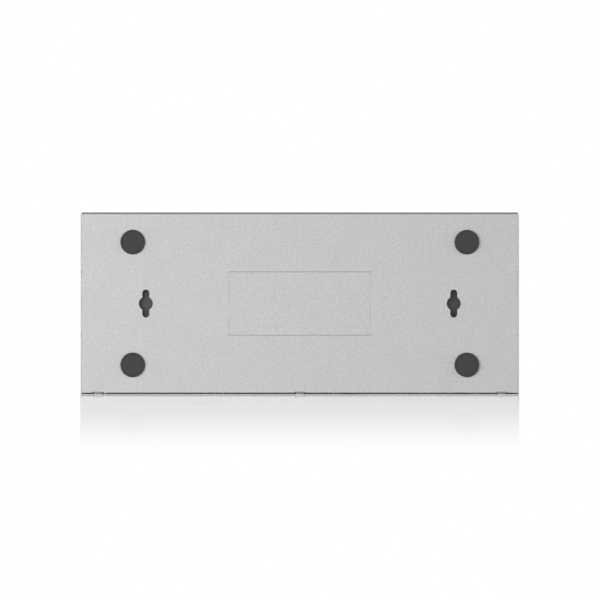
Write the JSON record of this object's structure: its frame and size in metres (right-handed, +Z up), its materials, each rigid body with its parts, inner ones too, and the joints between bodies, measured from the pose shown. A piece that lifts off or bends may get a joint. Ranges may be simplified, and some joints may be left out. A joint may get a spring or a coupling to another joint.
{
  "type": "desktop network switch",
  "caption": "Low folded-steel desktop case with a row of data sockets and lights in front, a round power socket behind, and keyholes and round feet below.",
  "frame": {"origin": "under the middle of the case, on the surface that the feet rest on", "axes": "+Z up, +X along the width, front with the sockets facing -Y, rear with the power socket facing +Y"},
  "size_m": [0.25, 0.104, 0.029],
  "materials": {
    "case_paint": "fine-textured satin powder coat",
    "rubber": "matt",
    "plated_steel": "zinc plated, satin",
    "screw_steel": "nickel plated",
    "shield_steel": "tin plated, satin",
    "film": "matt film",
    "board": "green solder mask over copper",
    "black_plastic": "moulded, satin",
    "chip_plastic": "moulded, matt",
    "plated_pin": "nickel plated, bright",
    "contact_gold": "gold plated",
    "clear_guide": "clear, polished",
    "led_lens": "clear lens",
    "heat_sink": "anodised, satin",
    "ferrite": "pressed ferrite, matt",
    "capacitor_can": "bare can, satin"
  },
  "bodies": {
    "root": {"base_chassis": "case_paint", "board_screws": "plated_steel", "board_standoffs": "plated_steel", "capacitor_1": "capacitor_can", "capacitor_2": "capacitor_can", "circuit_board": "board", "cover_screws": "screw_steel", "crystal": "plated_steel", "dc_jack_housing": "black_plastic", "dc_jack_pin": "plated_pin", "dc_jack_spring": "plated_pin", "foot_front_left": "rubber", "foot_front_right": "rubber", "foot_rear_left": "rubber", "foot_rear_right": "rubber", "heat_sink": "heat_sink", "insulation_sheet": "film", "light_guide": "clear_guide", "memory_chip": "chip_plastic", "port_1_contacts": "contact_gold", "port_1_insert": "black_plastic", "port_1_led": "led_lens", "port_2_contacts": "contact_gold", "port_2_insert": "black_plastic", "port_2_led": "led_lens", "port_3_contacts": "contact_gold", "port_3_insert": "black_plastic", "port_3_led": "led_lens", "port_4_contacts": "contact_gold", "port_4_insert": "black_plastic", "port_4_led": "led_lens", "port_5_contacts": "contact_gold", "port_5_insert": "black_plastic", "port_5_led": "led_lens", "port_6_contacts": "contact_gold", "port_6_insert": "black_plastic", "port_6_led": "led_lens", "port_7_contacts": "contact_gold", "port_7_insert": "black_plastic", "port_7_led": "led_lens", "port_8_contacts": "contact_gold", "port_8_insert": "black_plastic", "port_8_led": "led_lens", "port_block_1_housing": "black_plastic", "port_block_1_shield": "shield_steel", "port_block_2_housing": "black_plastic", "port_block_2_shield": "shield_steel", "power_inductor": "ferrite", "power_led": "led_lens", "regulator_chip": "chip_plastic", "switch_chip": "chip_plastic", "top_cover": "case_paint", "transformer_1": "chip_plastic", "transformer_2": "chip_plastic", "transformer_3": "chip_plastic", "transformer_4": "chip_plastic"}
  },
  "joints": []
}
